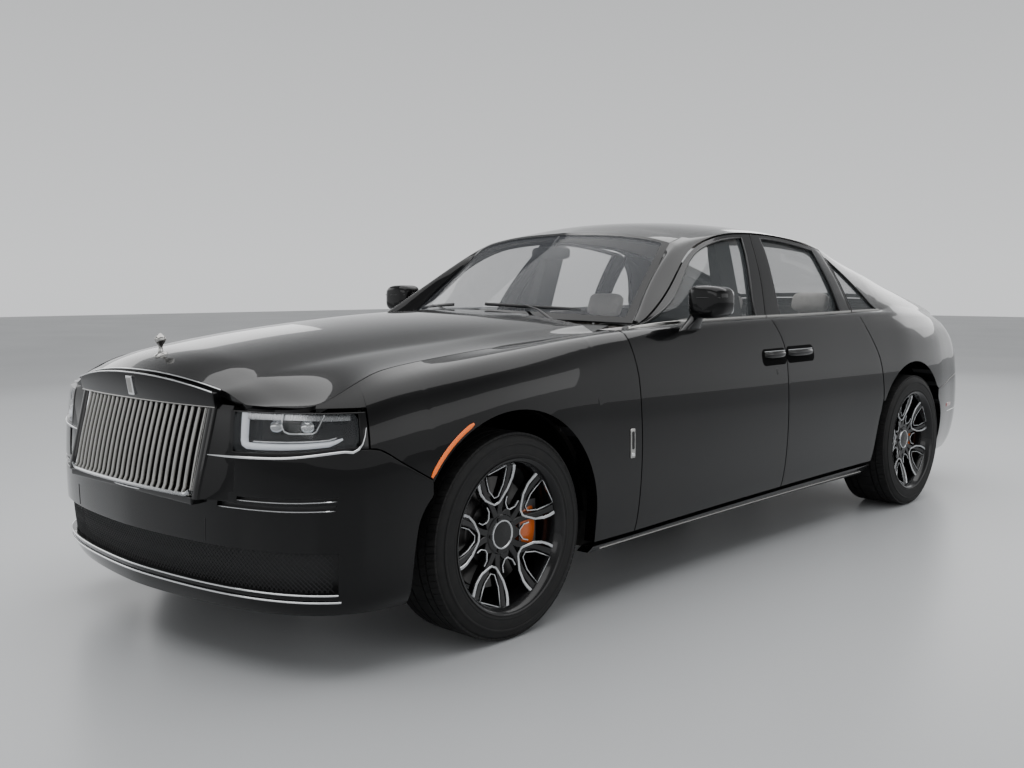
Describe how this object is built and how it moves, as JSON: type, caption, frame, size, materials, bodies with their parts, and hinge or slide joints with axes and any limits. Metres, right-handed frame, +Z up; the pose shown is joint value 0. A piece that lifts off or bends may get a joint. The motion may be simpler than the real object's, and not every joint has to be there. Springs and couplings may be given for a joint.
{
  "type": "sedan car",
  "caption": "Long four-door saloon with rear-hinged back doors, opening bonnet and boot, steered front wheels and a hollow cabin.",
  "frame": {"origin": "on the ground under the middle of the car", "axes": "+Z up, the car faces -Y, +X is the car's left side"},
  "size_m": [2.1472, 5.544, 1.5705],
  "materials": {
    "body_paint": "gloss black paint",
    "window_glass": "lightly tinted",
    "frame_steel": "satin black",
    "bright_metal": "dark polished",
    "lamp_lens": "clear",
    "tail_lens": "red gloss",
    "black_plastic": "fine grain",
    "dash_plastic": "soft grain",
    "seat_leather": "light grey, quilted",
    "cast_metal": "as cast",
    "chassis_metal": "satin",
    "exhaust_steel": "brushed",
    "plate": "blank",
    "tyre_rubber": "matt",
    "wheel_alloy": "machined and black"
  },
  "bodies": {
    "body": {"body_frame": "frame_steel", "body_side_left": "body_paint", "body_side_right": "body_paint", "rocker_panels": "body_paint", "roof_panel": "body_paint", "front_wing_left": "body_paint", "front_wing_right": "body_paint", "front_bumper": "body_paint", "rear_bumper": "body_paint", "grille": "bright_metal", "headlights": "lamp_lens", "tail_lights": "tail_lens", "windscreen": "window_glass", "rear_window": "window_glass", "quarter_windows": "window_glass", "cowl_panel": "black_plastic", "dashboard": "dash_plastic", "front_seats": "seat_leather", "rear_seat": "seat_leather", "engine_block": "cast_metal", "front_suspension": "chassis_metal", "rear_suspension": "chassis_metal", "exhaust": "exhaust_steel", "rear_number_plate": "plate", "towing_sockets": "chassis_metal"},
    "bonnet": {"bonnet": "body_paint", "bonnet_ornament": "bright_metal"},
    "boot_lid": {"boot_lid": "body_paint"},
    "front_door_left": {"front_door_left": "body_paint", "front_door_glass_left": "window_glass", "door_mirror_left": "body_paint"},
    "rear_door_left": {"rear_door_left": "body_paint", "rear_door_glass_left": "window_glass"},
    "front_door_right": {"front_door_right": "body_paint", "front_door_glass_right": "window_glass", "door_mirror_right": "body_paint"},
    "rear_door_right": {"rear_door_right": "body_paint", "rear_door_glass_right": "window_glass"},
    "steering_wheel": {"steering_wheel": "dash_plastic"},
    "front_knuckle_left": {"front_knuckle_left": "chassis_metal"},
    "front_knuckle_right": {"front_knuckle_right": "chassis_metal"},
    "front_wheel_left": {"tyre_front_left": "tyre_rubber", "wheel_front_left": "wheel_alloy"},
    "front_wheel_right": {"tyre_front_right": "tyre_rubber", "wheel_front_right": "wheel_alloy"},
    "rear_wheel_left": {"tyre_rear_left": "tyre_rubber", "wheel_rear_left": "wheel_alloy"},
    "rear_wheel_right": {"tyre_rear_right": "tyre_rubber", "wheel_rear_right": "wheel_alloy"}
  },
  "joints": [
    {"name": "bonnet_hinge", "type": "hinge", "parent": "body", "child": "bonnet", "pos_m": [0, -1.1, 1.098], "axis": [-1, 0, 0], "range_deg": [0, 50]},
    {"name": "boot_hinge", "type": "hinge", "parent": "body", "child": "boot_lid", "pos_m": [0, 2.142, 1.166], "axis": [1, 0, 0], "range_deg": [0, 75]},
    {"name": "front_left_door_hinge", "type": "hinge", "parent": "body", "child": "front_door_left", "pos_m": [0.98, -1.09, 0.62], "axis": [0, 0, -1], "range_deg": [0, 70]},
    {"name": "front_right_door_hinge", "type": "hinge", "parent": "body", "child": "front_door_right", "pos_m": [-0.98, -1.09, 0.62], "axis": [0, 0, 1], "range_deg": [0, 70]},
    {"name": "rear_left_door_hinge", "type": "hinge", "parent": "body", "child": "rear_door_left", "pos_m": [0.985, 1.108, 0.62], "axis": [0, 0, 1], "range_deg": [0, 80]},
    {"name": "rear_right_door_hinge", "type": "hinge", "parent": "body", "child": "rear_door_right", "pos_m": [-0.985, 1.108, 0.62], "axis": [0, 0, -1], "range_deg": [0, 80]},
    {"name": "front_left_steer", "type": "hinge", "parent": "body", "child": "front_knuckle_left", "pos_m": [0.772, -1.808, 0.3685], "axis": [0, 0, 1], "range_deg": [-35, 35]},
    {"name": "front_right_steer", "type": "hinge", "parent": "body", "child": "front_knuckle_right", "pos_m": [-0.772, -1.808, 0.3685], "axis": [0, 0, 1], "range_deg": [-35, 35]},
    {"name": "steering_wheel_turn", "type": "hinge", "parent": "body", "child": "steering_wheel", "pos_m": [0.375, -0.43, 0.905], "axis": [0, 0.9136, 0.4067], "range_deg": [-490, 490]},
    {"name": "front_left_wheel_spin", "type": "hinge", "parent": "front_knuckle_left", "child": "front_wheel_left", "pos_m": [0.832, -1.808, 0.3685], "axis": [1, 0, 0], "continuous": true},
    {"name": "front_right_wheel_spin", "type": "hinge", "parent": "front_knuckle_right", "child": "front_wheel_right", "pos_m": [-0.832, -1.808, 0.3685], "axis": [1, 0, 0], "continuous": true},
    {"name": "rear_left_wheel_spin", "type": "hinge", "parent": "body", "child": "rear_wheel_left", "pos_m": [0.843, 1.487, 0.3685], "axis": [1, 0, 0], "continuous": true},
    {"name": "rear_right_wheel_spin", "type": "hinge", "parent": "body", "child": "rear_wheel_right", "pos_m": [-0.843, 1.487, 0.3685], "axis": [1, 0, 0], "continuous": true}
  ],
  "couplings": [
    {"joint": "front_right_steer", "follows": "front_left_steer", "ratio": 1},
    {"joint": "steering_wheel_turn", "follows": "front_left_steer", "ratio": 14}
  ]
}
